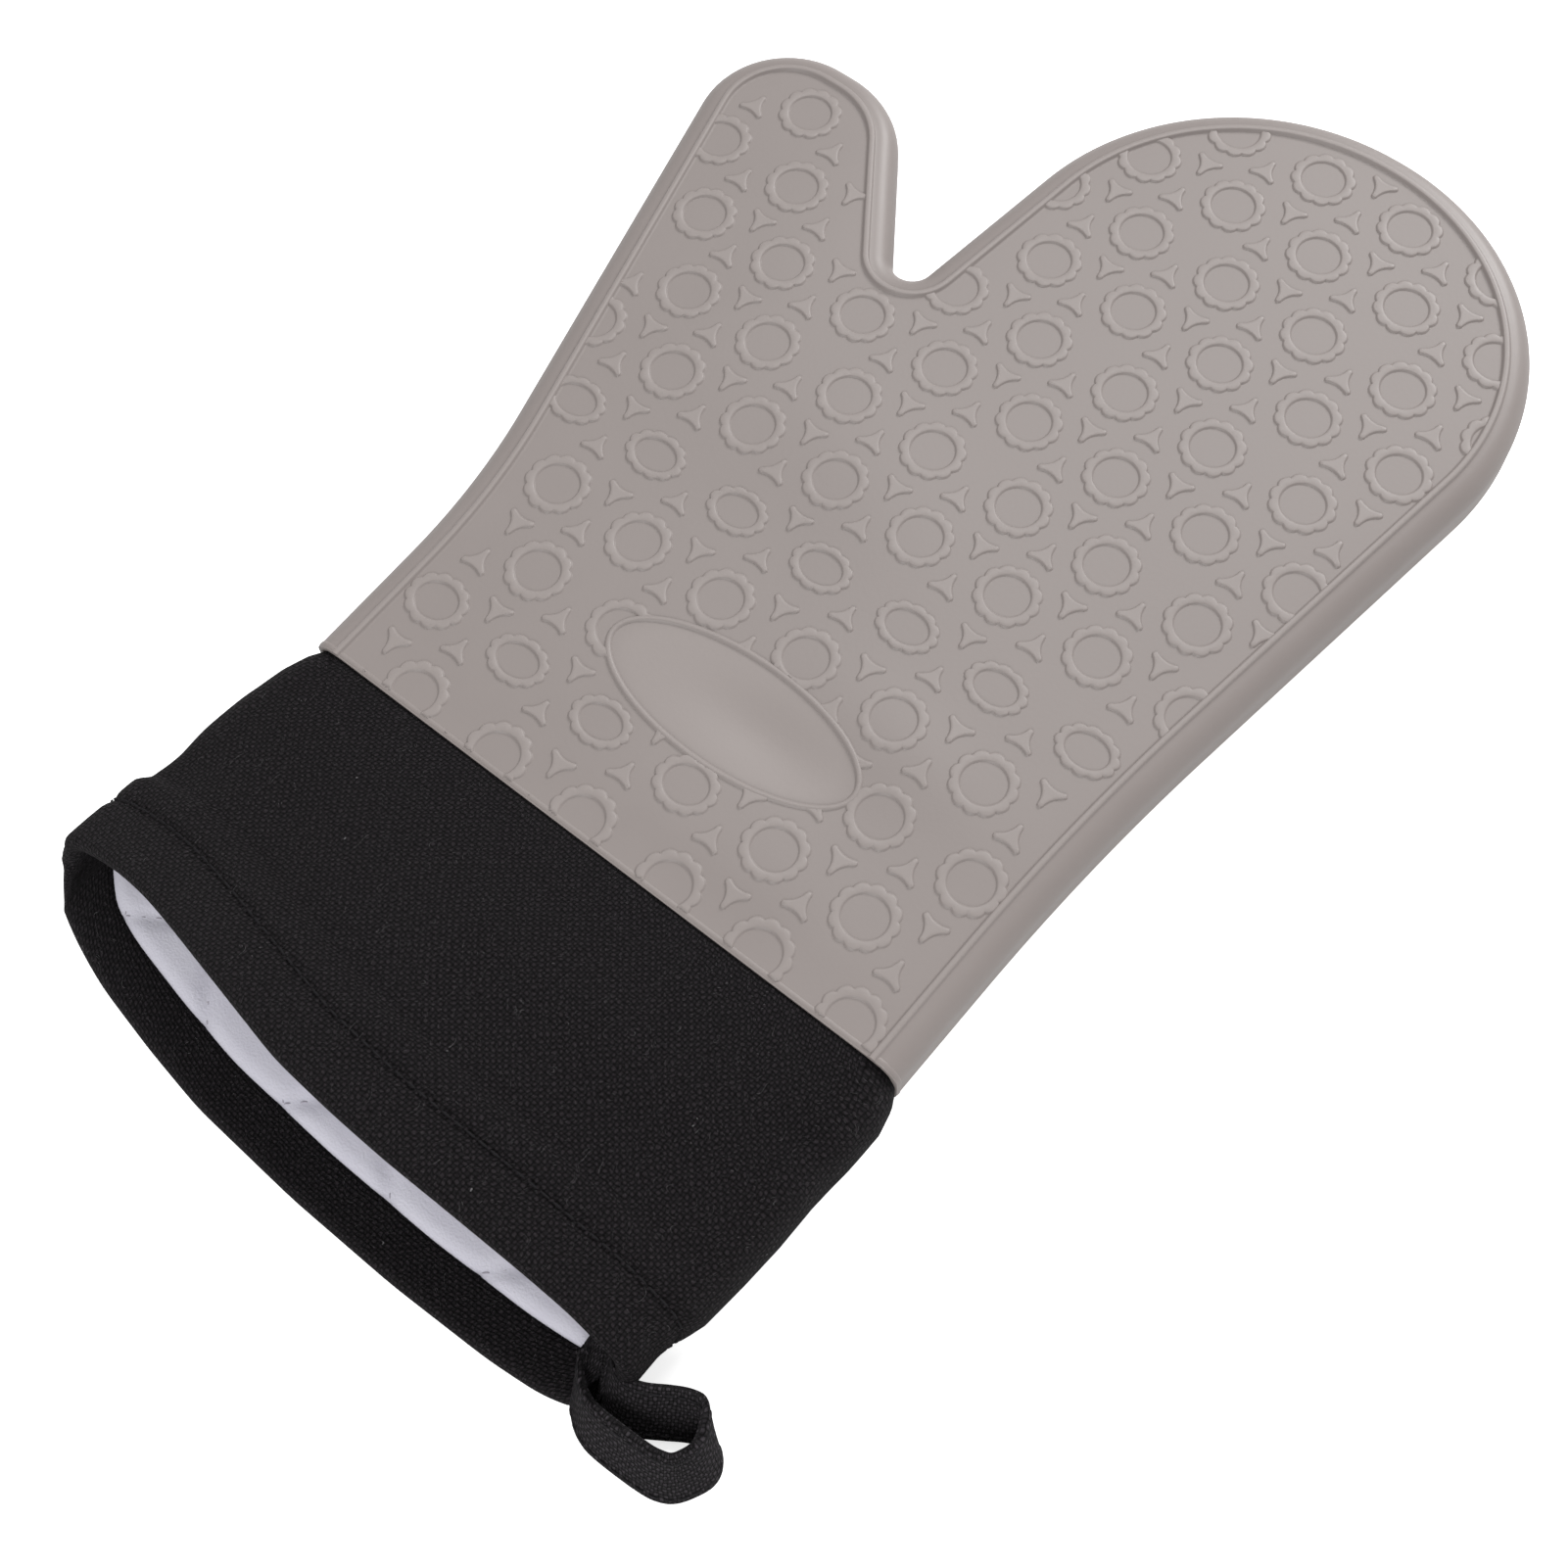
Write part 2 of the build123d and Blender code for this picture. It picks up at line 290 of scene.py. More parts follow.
edge_points, edge_normals = outline(EDGE_STEP)
fine_points, fine_normals = outline(FINE_STEP)
fine_tree = kdtree.KDTree(len(fine_points))
for index, (fine_x, fine_y) in enumerate(fine_points):
    fine_tree.insert((fine_x, fine_y, 0), index)
fine_tree.balance()


def border_distance(xy):
    """How far each point lies outside the rib's centre line, negative inside it."""
    nearest = [fine_tree.find((x, y, 0))[1] for x, y in xy]
    return np.sum((xy - fine_points[nearest]) * fine_normals[nearest], axis=1)


# Gentle unevenness of the upper face, as rows for bumps
SWELLS = [
    (40, 175, 45, 40, 0, 0.4), (-60, 135, 22, 50, 20, 0.4), (60, 100, 30, 26, 0, -0.2),
    (20, 215, 40, 20, 0, 0.3), (-40, 70, 30, 22, 30, -0.7), (70, 140, 18, 30, 0, 0.3),
    (-10, 105, 30, 18, -20, 0.6), (30, 15, 40, 12, 0, 0.5), (38, 57, 24, 10, -10, 0.6),
    (13, 40.5, 17, 7, 0, -1.1),
]


def round_drop(offset, radius):
    """How far a face has dropped to the rounded edge at an offset outside the rib line."""
    over = np.clip(offset + radius - BORDER, 0, radius)
    return radius - np.sqrt(np.maximum(radius**2 - over**2, 0))


def face_height(xy, offset, upper):
    """Height of the silicone's upper or lower face, without relief."""
    if not upper:
        return BASE + round_drop(offset, LOWER_EDGE)
    x, y = xy.T
    swell = bumps(x, y, SWELLS) * smoothstep(*RIM_FADE, y - RIM_Y)
    return TOP - round_drop(offset, UPPER_EDGE) + swell * (1 - smoothstep(*EDGE_FADE, offset))


# Border rib and rounded outer edge
RIB_STEPS = [0.42, 0.58, 0.7, 0.84, 0.98, 1.15]
RIB_OFFSETS = [-3.6, -2.4, -1.5] + [-step for step in RIB_STEPS[::-1]] + [0] + RIB_STEPS
PANEL_EDGE = RIB_OFFSETS[0]


def rib(offset):
    """Height of the border rib over the face."""
    return RIB_HEIGHT * (1 - smoothstep(RIB_TOP, RIB_FOOT, np.abs(offset)))


def add_edge(shell):
    """Strip from the upper face over its rib, round the edge and over the lower rib."""
    rows, raised = [], []
    for upper, radius in ((True, UPPER_EDGE), (False, LOWER_EDGE)):
        start = math.asin((RIB_STEPS[-1] + radius - BORDER) / radius)
        angles = np.linspace(start, math.pi / 2, 12)[1:]
        offsets = RIB_OFFSETS + [radius * math.sin(angle) - (radius - BORDER) for angle in angles]
        for offset in offsets if upper else offsets[::-1]:
            xy = edge_points + edge_normals * offset
            everywhere = np.full(len(xy), offset)
            height = rib(everywhere)
            z = face_height(xy, everywhere, upper) + (height if upper else -height)
            rows.append(np.column_stack([xy, z]))
            # painted light: the rib's top is drawn in a lighter tone, by its height
            raised.append(height / RIB_HEIGHT)
    shell.add(np.vstack(rows), grid(len(rows), len(edge_points)), np.concatenate(raised))


# The two faces inside the border
def panel():
    """Flat points and triangles of a face, inside the border rib."""
    inner = edge_points + edge_normals * PANEL_EDGE
    rim_step = 1.8
    rim_x = np.arange(inner[-1, 0] - rim_step, inner[0, 0] + rim_step / 2, -rim_step)
    ring = np.vstack([inner, np.column_stack([rim_x, np.full(len(rim_x), RIM_Y)])])
    row_step = PANEL_STEP * 0.866  # rows of equal triangles
    lattice = []
    for row, y in enumerate(np.arange(RIM_Y + PANEL_STEP, PANEL_END, row_step)):
        for x in np.arange(PANEL_LEFT, PANEL_RIGHT, PANEL_STEP):
            lattice.append((x + (row % 2) * PANEL_STEP / 2, y))
    lattice = np.array(lattice)
    lattice = lattice[border_distance(lattice) < PANEL_EDGE - PANEL_STEP / 2]
    flat = [Vector(p) for p in np.vstack([ring, lattice])]
    sides = [(i, (i + 1) % len(ring)) for i in range(len(ring))]
    points, _, triangles, _, _, _ = geometry.delaunay_2d_cdt(flat, sides, [], 1, 1e-5)
    return np.array([tuple(p) for p in points]), triangles


panel_points, panel_faces = panel()
panel_offset = border_distance(panel_points)


def add_panels(shell):
    """Upper and lower face, the upper one with a painted highlight: the oval plate's lighter tone."""
    from_oval = panel_points - OVAL_MIDDLE
    oval_share = np.hypot(from_oval[:, 0] / OVAL_LONG, from_oval[:, 1] / OVAL_WIDE)
    # painted highlight: the oval plate's inside is drawn in the raised tops' lighter tone
    plate = np.clip(OVAL_SHARPNESS * (1 - oval_share), 0, 1)
    for upper in (True, False):
        z = face_height(panel_points, panel_offset, upper)
        faces = panel_faces if upper else [face[::-1] for face in panel_faces]
        shell.add(np.column_stack([panel_points, z]), faces, plate if upper else 0.0)


# Lip at the rim: how far each row lies behind the rim's end, and how far it stands out
LIP_PROFILE = [
    (1.75, -0.25), (LIP_DEPTH, -0.03), (1.38, 0.05), (1.25, 0.11), (1.05, 0.15), (0.8, 0.16), (0.5, 0.12),
    (0.25, 0.03), (0.1, -0.12), (0.04, -0.45), (0, -1.0), (0.08, -1.6), (0.5, -2.0), (2.5, -2.1),
]


def rim_section(half, low, high, lower, upper):
    """Section across the rim, anticlockwise from the lower right corner: points and outward normals."""
    corners = [(half - lower, low + lower, lower), (half - upper, high - upper, upper),
               (upper - half, high - upper, upper), (lower - half, low + lower, lower)]
    corner_points, long_side, short_side = 11, 64, 6
    points, normals = [], []
    for quarter, (x, z, radius) in enumerate(corners):
        for angle in np.radians(np.linspace(-90, 0, corner_points) + 90 * quarter):
            normal = np.array([math.cos(angle), math.sin(angle)])
            points.append((x, z) + radius * normal)
            normals.append(normal)
        next_x, next_z, next_radius = corners[(quarter + 1) % 4]
        last, goal = points[-1], (next_x, next_z) + next_radius * normal
        steps = long_side if quarter % 2 else short_side
        for k in range(1, steps):
            points.append(last + (goal - last) * k / steps)
            normals.append(normal)
    return np.array(points), np.array(normals)


def add_lip(shell):
    section, normals = rim_section(RIM_HALF + BORDER, BASE, TOP, LOWER_EDGE, UPPER_EDGE)
    rows = []
    for depth, out in LIP_PROFILE:
        xz = section + normals * out
        rows.append(np.column_stack([xz[:, 0], np.full(len(xz), RIM_Y + depth), xz[:, 1]]))
    shell.add(np.vstack(rows), grid(len(rows), len(section), closed=True))


# Raised rim of the oval plate: distance outside its outer edge, height
OVAL_PROFILE = [
    (0.2, -0.1), (0.06, 0.08), (-0.1, 0.28), (-0.26, 0.42), (-0.45, OVAL_HEIGHT), (-0.7, OVAL_HEIGHT),
    (-0.95, OVAL_HEIGHT), (-1.14, 0.42), (-1.3, 0.28), (-1.46, 0.08), (-1.6, -0.1),
]


def oval_outside(xy):
    """Roughly the distance outside the oval's outer edge."""
    u, v = turned(xy - OVAL_MIDDLE, -OVAL_TILT).T
    share = np.hypot(u / OVAL_LONG, v / OVAL_WIDE)
    slope = np.hypot(u / OVAL_LONG**2, v / OVAL_WIDE**2)
    tiny = 1e-9
    return np.where(slope > tiny, share * (share - 1) / np.maximum(slope, tiny), -OVAL_WIDE)


def add_oval_rim(shell):
    turns = np.linspace(0, 2 * math.pi, 240, endpoint=False)
    edge = np.column_stack([OVAL_LONG * np.cos(turns), OVAL_WIDE * np.sin(turns)])
    normals = unit_rows(np.column_stack([np.cos(turns) / OVAL_LONG, np.sin(turns) / OVAL_WIDE]))
    rows = []
    for out, height in OVAL_PROFILE:
        xy = turned(edge + normals * out, OVAL_TILT) + OVAL_MIDDLE
        rows.append(np.column_stack([xy, face_height(xy, border_distance(xy), True) + height]))
    shell.add(np.vstack(rows), grid(len(rows), len(turns), closed=True), OVAL_RIM_PAINTED_LIGHT)


# Grip marks. Side of a mark from foot to top: distance in from its outline, height
MARK_SIDE = [(-0.28, -0.05), (-0.16, 0.03), (-0.04, 0.12), (0.08, 0.25), (0.2, 0.35), (0.36, RELIEF)]
STAR_SIDE_SCALE = 0.8  # a star's sides are a little steeper
STAR_TOP_INSET = 0.44


def ring_mark():
    """Points, heights and faces of one scalloped ring about its middle."""
    profile = [(0, inward, height) for inward, height in MARK_SIDE] + [(0.5, 0, RELIEF)]
    profile += [(1, -inward, height) for inward, height in MARK_SIDE[::-1]]
    turns = np.linspace(0, 2 * math.pi, 120, endpoint=False)
    outer = RING_WAIST + RING_LOBE * np.abs(np.cos(RING_LOBES / 2 * turns)) ** 0.75
    rows = []
    for share, inward, _ in profile:
        radius = RING_HOLE + (outer - RING_HOLE) * share + inward
        rows.append(np.column_stack([radius * np.cos(turns), radius * np.sin(turns)]))
    heights = np.repeat([height for _, _, height in profile], len(turns))
    return np.vstack(rows), heights, grid(len(profile), len(turns), closed=True, flip=True)


def star_outline():
    """Outline of a three-armed star with concave sides and rounded tips."""
    third = 2 * math.pi / 3
    half_turn = np.linspace(-math.pi / 2, math.pi / 2, 7)
    round_from = STAR_TIP - STAR_ARM
    tip = np.column_stack([round_from + STAR_ARM * np.cos(half_turn), STAR_ARM * np.sin(half_turn)])
    points = []
    for arm in range(3):
        points.extend(turned(tip, third * arm))
        start, end = points[-1], turned(tip[:1], third * (arm + 1))[0]
        waist = turned(np.array([(STAR_WAIST, 0)]), third * (arm + 0.5))[0]
        for k in np.linspace(0, 1, 12)[1:-1]:
            points.append((1 - k) ** 2 * start + 2 * k * (1 - k) * waist + k * k * end)
    return np.array(points)


def star_mark():
    """Points, heights and faces of one star about its middle."""
    edge = star_outline()
    step = np.roll(edge, -1, axis=0) - np.roll(edge, 1, axis=0)
    normals = unit_rows(np.column_stack([step[:, 1], -step[:, 0]]))
    rows = [edge - normals * inward * STAR_SIDE_SCALE for inward, _ in MARK_SIDE]
    rows += [(edge - normals * STAR_TOP_INSET) * share for share in (0.75, 0.5, 0.25)]
    heights = [height for _, height in MARK_SIDE] + [RELIEF] * 3
    count = len(edge)
    last = (len(rows) - 1) * count
    middle = len(rows) * count
    faces = grid(len(rows), count, closed=True)
    faces += [(last + k, last + (k + 1) % count, middle) for k in range(count)]
    return np.vstack(rows + [np.zeros((1, 2))]), np.append(np.repeat(heights, count), RELIEF), faces


def flattened(xy, middle):
    """A mark drawn flatter where the silicone creases across the palm and the wrist."""
    x, y = middle
    palm = PALM_SQUEEZE * math.exp(-(((y - PALM_CREASE_Y) / CREASE_REACH) ** 2))
    wrist = WRIST_SQUEEZE * math.exp(-(((y - WRIST_CREASE_Y) / CREASE_REACH) ** 2))
    wrist *= math.exp(-(((x - WRIST_CREASE_X) / CREASE_WIDTH) ** 2))
    return xy * np.array([1, 1 - (palm + wrist)])


def stamp(shell, mark, angle, middle, upper):
    """One raised mark laid on a face, sunk where it meets the rib, the rim's lip and the oval."""
    flat, height, faces = mark
    xy = flattened(turned(flat, angle), middle) + middle
    offset = border_distance(xy)
    free = (offset < 0) & (xy[:, 1] > RIM_Y + LIP_DEPTH - LIP_OVERLAP)
    if upper:
        free &= oval_outside(xy) > -OVAL_OVERLAP
    if not free.any():
        return
    height = np.where(free, height, SUNK)
    z = face_height(xy, offset, upper) + (height if upper else -height)
    faces = [face if upper else face[::-1] for face in faces if any(free[i] for i in face)]
    used = np.unique(np.concatenate(faces))
    number = np.full(len(xy), -1)
    number[used] = np.arange(len(used))
    faces = [tuple(number[i] for i in face) for face in faces]
    # painted light: the mark's top is drawn in a lighter tone, by its height
    shell.add(np.column_stack([xy, z])[used], faces, np.clip(height / RELIEF, 0, 1)[used])


def ring_middle(column, row):
    return FIRST_RING + column * NEXT_RING + row * NEXT_ROW


def star_places(column, row):
    """Middle and angle of each star beside a ring. Every other row lacks every other star of one kind."""
    here, beside = ring_middle(column, row), ring_middle(column + 1, row)
    above, beside_above = ring_middle(column, row - 1), ring_middle(column + 1, row - 1)
    trios = [(here, above, beside_above)]
    if row % 2 == 0 or (column + (row + 1) // 2) % 2:
        trios.insert(0, (here, beside, beside_above))
    places = []
    for trio in trios:
        middle = np.mean(trio, axis=0)
        arm = (trio[0] + trio[1]) / 2 - middle
        places.append((middle, math.atan2(arm[1], arm[0])))
    return places


def add_grip(shell):
    """Rings and stars on both faces."""
    ring, star = ring_mark(), star_mark()
    for upper in (True, False):
        for row in RING_ROWS:
            for column in RING_COLUMNS:
                middle = ring_middle(column, row)
                if border_distance(middle[None])[0] < RING_OVERHANG or (column, row) == EXTRA_RING:
                    stamp(shell, ring, RING_TURN * column + ROW_TURN * row, middle, upper)
                for middle, angle in star_places(column, row):
                    if border_distance(middle[None])[0] <= -STAR_ROOM:
                        stamp(shell, star, angle, middle, upper)


def make_silicone():
    shell = Pile()
    for add in (add_edge, add_panels, add_lip, add_oval_rim, add_grip):
        add(shell)
    return shell.make("silicone_mitt")


# Canvas cuff: sections across it, from inside the rim to past the mouth
def cuff_section(left, right, low, side, crown, corner):
    """Points and outward normals round one section, in the same order for every section."""
    across, round_corner, upright = 96, 9, 6
    middle, reach = (left + right) / 2, (right - left) / 2 - corner
    slope = math.asin(2 * crown * reach / (reach**2 + crown**2))
    points, normals = [], []

    def line(start, end, steps):
        start, end = np.array(start, float), np.array(end, float)
        along = unit(end - start)
        for k in range(steps):
            points.append(start + (end - start) * k / steps)
            normals.append((along[1], -along[0]))

    def arc(x, z, radius, first, last, steps):
        for k in range(steps):
            angle = first + (last - first) * k / steps
            points.append((x + radius * math.cos(angle), z + radius * math.sin(angle)))
            normals.append((math.cos(angle), math.sin(angle)))

    quarter = math.pi / 2
    line((middle - reach, low), (middle + reach, low), across)
    arc(middle + reach, low + corner, corner, -quarter, 0, round_corner)
    line((right, low + corner), (right, side - corner), upright)
    arc(middle + reach, side - corner, corner, 0, quarter - slope, round_corner)
    crown_x = reach + corner * math.sin(slope)
    crown_z = side - corner + corner * math.cos(slope)
    if crown > 0:
        rise = side + crown - crown_z
        radius = (crown_x**2 + rise**2) / (2 * rise)
        half = math.asin(crown_x / radius)
        arc(middle, side + crown - radius, radius, quarter - half, quarter + half, across)
    else:
        line((middle + crown_x, crown_z), (middle - crown_x, crown_z), across)
    arc(middle - reach, side - corner, corner, quarter + slope, 2 * quarter, round_corner)
    line((left, side - corner), (left, low + corner), upright)
    arc(middle - reach, low + corner, corner, 2 * quarter, 3 * quarter, round_corner)
    return np.array(points), np.array(normals)


# How the cuff widens and rises away from the rim: y, left, right, low, side, crown, corner radius
STATIONS = np.array([
    (12, -78.4, 78.4, 2.9, 18.7, 0, 6.9),
    (0.6, -78.4, 78.4, 2.9, 18.7, 0, 6.9),
    (-1.8, -80.2, 80.2, 1.5, 20.2, 0.2, 8),
    (-4.5, -82, 81.6, 0.9, 20.5, 0.5, 8.5),
    (-10, -84.2, 82.8, 0.6, 20.4, 1.6, 8.6),
    (-20, -87, 82.5, 0.4, 19.8, 4.2, 8.6),
    (-30, -89.4, 81.4, 0.3, 19.1, 7, 8.4),
    (-40, -91.4, 81.2, 0.2, 18.4, 9.6, 8.2),
    (-50, -92.8, 80.4, 0.1, 17.9, 12, 8),
    (-61, -93.9, 79.2, 0, 17.6, 14.2, 7.8),
    (-71, -94.6, 75.8, 0, 17.6, 15.8, 7.5),
    (-80, -94.2, 75.6, 0, 17.6, 16.6, 7.5),
    (-96, -93.5, 73.5, 0, 17.6, 16.6, 7.5),
])
MOUTH_STATION = -3
SECTIONS = [cuff_section(*station[1:]) for station in STATIONS]
SECTION_POINTS = np.array([points for points, _ in SECTIONS])
SECTION_NORMALS = np.array([normals for _, normals in SECTIONS])
COLUMNS = SECTION_POINTS.shape[1]

# Plan of the hem's fold, x and y: where it lies on the table, and along the upper side
FOLD_HEIGHTS = (1.0, 17)  # heights between which it goes from the one line to the other
LOW_FOLD = np.array([
    (-95, -72.5), (-91, -76.5), (-86, -79.6), (-78, -82.8), (-68, -85.9), (-50, -89.4), (-33, -92),
    (-4, -93.5), (24, -93.6), (49, -92.5), (62, -91), (68, -89), (72, -86.5), (75, -82.5), (78, -79),
])
HIGH_FOLD = np.array([
    (-95, -69), (-86, -67.3), (-76, -66.8), (-66, -67.4), (-56, -69), (-44, -71.2), (-31, -73.6),
    (-16, -76.4), (0, -77.4), (15, -77.7), (31, -77.3), (47, -76.9), (60, -76.8), (70, -77.6), (78, -78.4),
])


def fold_place(x, z):
    """The fold's y, from its place across and its height."""
    low, high = np.interp(x, *LOW_FOLD.T), np.interp(x, *HIGH_FOLD.T)
    return high + (low - high) * (1 - smoothstep(*FOLD_HEIGHTS, z))


def cuff_at(y, inset):
    """Points set in from the cuff's surface at one y per column, and their outward normals."""
    y = np.broadcast_to(np.asarray(y, float), (COLUMNS,))
    rising_y = STATIONS[::-1, 0]
    numbers = np.arange(len(STATIONS))[::-1].astype(float)
    place = np.clip(np.interp(y, rising_y, numbers), 0, len(STATIONS) - 1.001)
    station = place.astype(int)
    share = (place - station)[:, None]
    column = np.arange(COLUMNS)

    def mixed(rows):
        return rows[station, column] * (1 - share) + rows[station + 1, column] * share

    normal = unit_rows(mixed(SECTION_NORMALS))
    xz = mixed(SECTION_POINTS) - normal * np.reshape(inset, (-1, 1))
    points = np.column_stack([xz[:, 0], y, xz[:, 1]])
    return points, np.column_stack([normal[:, 0], np.zeros(COLUMNS), normal[:, 1]])


# The fold depends on the surface that it lies on, so it is found in rounds and then smoothed
fold_y = np.full(COLUMNS, -80.0)
for _ in range(40):
    fold_points = cuff_at(fold_y, 0)[0]
    fold_y = 0.5 * fold_y + 0.5 * fold_place(fold_points[:, 0], fold_points[:, 2])
for _ in range(6):
    fold_y = (np.roll(fold_y, 1) + 2 * fold_y + np.roll(fold_y, -1)) / 4
fold_x = fold_points[:, 0]
facing_end = fold_y + FACING_EXTRA * (1 - smoothstep(*FACING_SIDE, fold_x)) + FACING

# Distance round the mouth, as the cloth's coordinate across
mouth = SECTION_POINTS[MOUTH_STATION]
girth = lengths(np.vstack([mouth, mouth[:1]]))

# Folds and dents of the cloth, as rows for bumps
FOLDS = [
    (-50, -40, 26, 14, 20, -1.2), (10, -30, 30, 12, -15, 1.0), (48, -50, 16, 20, 10, -1.3),
    (-15, -62, 34, 8, 5, 0.9), (76, -23, 10, 5, 0, -1.6), (-84, -40, 8, 5, 0, -1.2),
    (28, -66, 18, 8, 12, 0.8),
]
FOLDS_RISE = (5, 14)  # heights over which the folds set in
FOLDS_START = (2, 16)  # and distances from the rim
RIPPLE = 0.25
PINCH_DEPTH = 0.55
PINCH_HEIGHTS = (5.0, 11.5)  # heights of the two creases at the thumb's side
PINCH_REACH = 1.6
PINCH_SIDE = (-92, -80)  # x over which they end
PINCH_START = (30, 55)  # distances from the rim over which they set in


def folds(points):
    """How far the cloth stands out from the smooth cuff."""
    x, y, z = points.T
    from_rim = RIM_Y - y
    total = bumps(x, y, FOLDS) + RIPPLE * np.sin(x / 7.0 + y / 11.0) * np.sin(y / 9.0 - x / 23.0)
    pinch = sum(np.exp(-(((z - height) / PINCH_REACH) ** 2)) for height in PINCH_HEIGHTS)
    pinch *= (1 - smoothstep(*PINCH_SIDE, x)) * smoothstep(*PINCH_START, from_rim)
    total *= smoothstep(*FOLDS_RISE, z) * smoothstep(*FOLDS_START, from_rim)
    return total - PINCH_DEPTH * pinch


def tube(layers):
    """Points and cloth coordinates of closed rows, each given by its y per column and its inset."""
    points, uvs = [], []
    along = np.zeros(COLUMNS)
    for y, inset in layers:
        row, normals = cuff_at(y, inset)
        row = row + normals * folds(cuff_at(y, 0)[0])[:, None]
        if points:
            along = along + np.linalg.norm(row - points[-1][:-1], axis=1)
        points.append(np.vstack([row, row[:1]]))
        uvs.append(np.column_stack([girth, np.append(along, along[0])]))
    return np.vstack(points), np.vstack(uvs)


def make_cuff():
    """One cloth from inside the rim, over the cuff, round the hem and along its inner side."""
    layers = [(y, 0.0) for y in TUCK_ROWS]
    hem_start = fold_y + HEM_HALF
    layer = HEM_LAYER * (1 - smoothstep(*HEM_LAYER_SIDE, fold_x))
    for share in np.concatenate([np.linspace(0, 0.12, 10), np.linspace(0.13, 1, 66)]):
        y = TUCK_Y + (hem_start - TUCK_Y) * share
        groove = SEAM_DEPTH * np.exp(-(((y - (fold_y + HEM_SEAM)) / SEAM_REACH) ** 2))
        past_step = y - (fold_y + HEM_STEP)
        under = smoothstep(*HEM_LAYER_END, past_step) * (1 - smoothstep(*HEM_LAYER_FADE, past_step))
        layers.append((y, groove + layer * under))
    for angle in np.linspace(0, math.pi, 13)[1:]:
        layers.append((hem_start - HEM_HALF * math.sin(angle), HEM_HALF * (1 - math.cos(angle))))
    facing_start = hem_start + FACING_GAP
    for share in np.linspace(0, 1, 7):
        layers.append((facing_start + (facing_end - facing_start) * share, 2 * HEM_HALF))
    layers.append((facing_end + FACING_TURN, 2 * HEM_HALF - FACING_TURN))
    points, uv = tube(layers)
    return make_mesh("canvas_cuff", points, grid(len(layers), COLUMNS + 1, flip=True), uv)


# Quilted lining with its padding
def quilt(u, v):
    """Puff of the quilting: low along two sets of slanting seams."""
    rising = np.abs(((u + v) / QUILT_PITCH) % 1 - 0.5) * 2
    falling = np.abs(((u - v) / QUILT_PITCH) % 1 - 0.5) * 2
    return QUILT_PUFF * (1 - rising**QUILT_FULLNESS) * (1 - falling**QUILT_FULLNESS)


def lining_surface(past_facing):
    """Lining inside the cuff at a distance past the end of the facing, without puff, and its normals."""
    points, normals = cuff_at(np.minimum(facing_end + past_facing, LINING_END_Y), 0)
    return points + normals * (folds(points) - LINING_INSET)[:, None], normals


def add_cuff_lining(lining):
    rows = []
    for past_facing in np.concatenate([[-1.0], np.arange(0, LINING_REACH - FACING, LINING_STEP)]):
        points, normals = lining_surface(past_facing)
        puff = quilt(girth[:-1], FACING + past_facing) * smoothstep(*PUFF_FACING, past_facing)
        row = points - normals * puff[:, None]
        rows.append(np.vstack([row, row[:1]]))
    lining.add(np.vstack(rows), grid(len(rows), COLUMNS + 1))


def add_hand_lining(lining):
    """Lining inside the silicone: its rounded edge, and both faces with their puff."""
    levels = {True: TOP - LINING_DEPTH, False: BASE + LINING_DEPTH}
    angles = np.linspace(0, math.pi / 2, 8)
    rows = []
    for upper, level in levels.items():
        for angle in angles if upper else angles[::-1]:
            xy = edge_points + edge_normals * (LINING_EDGE * math.sin(angle) - LINING_BORDER)
            drop = LINING_EDGE * (1 - math.cos(angle))
            rows.append(np.column_stack([xy, np.full(len(xy), level - drop if upper else level + drop)]))
    lining.add(np.vstack(rows), grid(len(rows), len(edge_points), flip=True))
    x, y = panel_points.T
    puff = quilt(x, y) * smoothstep(*PUFF_EDGE, -panel_offset) * smoothstep(*PUFF_RIM, y - RIM_Y)
    for upper, level in levels.items():
        z = level - puff if upper else level + puff
        faces = [face[::-1] for face in panel_faces] if upper else panel_faces
        lining.add(np.column_stack([panel_points, z]), faces)


def make_lining():
    lining = Pile()
    add_cuff_lining(lining)
    add_hand_lining(lining)
    return lining.make("quilted_lining")


# Stitches. One stitch from end to end: share of its length, share of its radius, lift off the cloth
STITCH_PROFILE = [
    (0, 0.25, -0.25), (0.12, 0.8, 0.02), (0.32, 1.0, 0.14),
    (0.68, 1.0, 0.14), (0.88, 0.8, 0.02), (1, 0.25, -0.25),
]
STITCH_SIDES = 8
THREAD = 0.22  # radius of the thread in the cuff and the lining
TAPE_THREAD = 0.24


def add_stitch(pile, start, end, out, radius):
    """One thread stitch, sunk at both ends and standing out in the middle."""
    side = np.cross(unit(end - start), out)
    points = []
    for share, size, lift in STITCH_PROFILE:
        middle = start + (end - start) * share + out * lift
        for angle in np.linspace(0, 2 * math.pi, STITCH_SIDES, endpoint=False):
            points.append(middle + radius * size * (math.cos(angle) * side + math.sin(angle) * out))
    pile.add(points, grid(len(STITCH_PROFILE), STITCH_SIDES, closed=True))


def make_quilting():
    """Stitches along the slanting seams that show inside the mouth."""
    thread = Pile()
    stitch = 1.3
    for way in (1, -1):
        for seam in range(-1, 9):
            for start in np.arange(1, QUILT_SHOWN - FACING, 2 * stitch):
                ends = []
                for past_facing in (start, start + stitch):
                    across = (seam * QUILT_PITCH - way * (FACING + past_facing)) % girth[-1]
                    column = min(int(np.searchsorted(girth, across)) - 1, COLUMNS - 1)
                    share = (across - girth[column]) / (girth[column + 1] - girth[column])
                    points, normals = lining_surface(past_facing)
                    ends.append(points[column] * (1 - share) + points[(column + 1) % COLUMNS] * share)
                add_stitch(thread, ends[0], ends[1], -normals[column], THREAD)
    return thread.make("quilting_stitches")


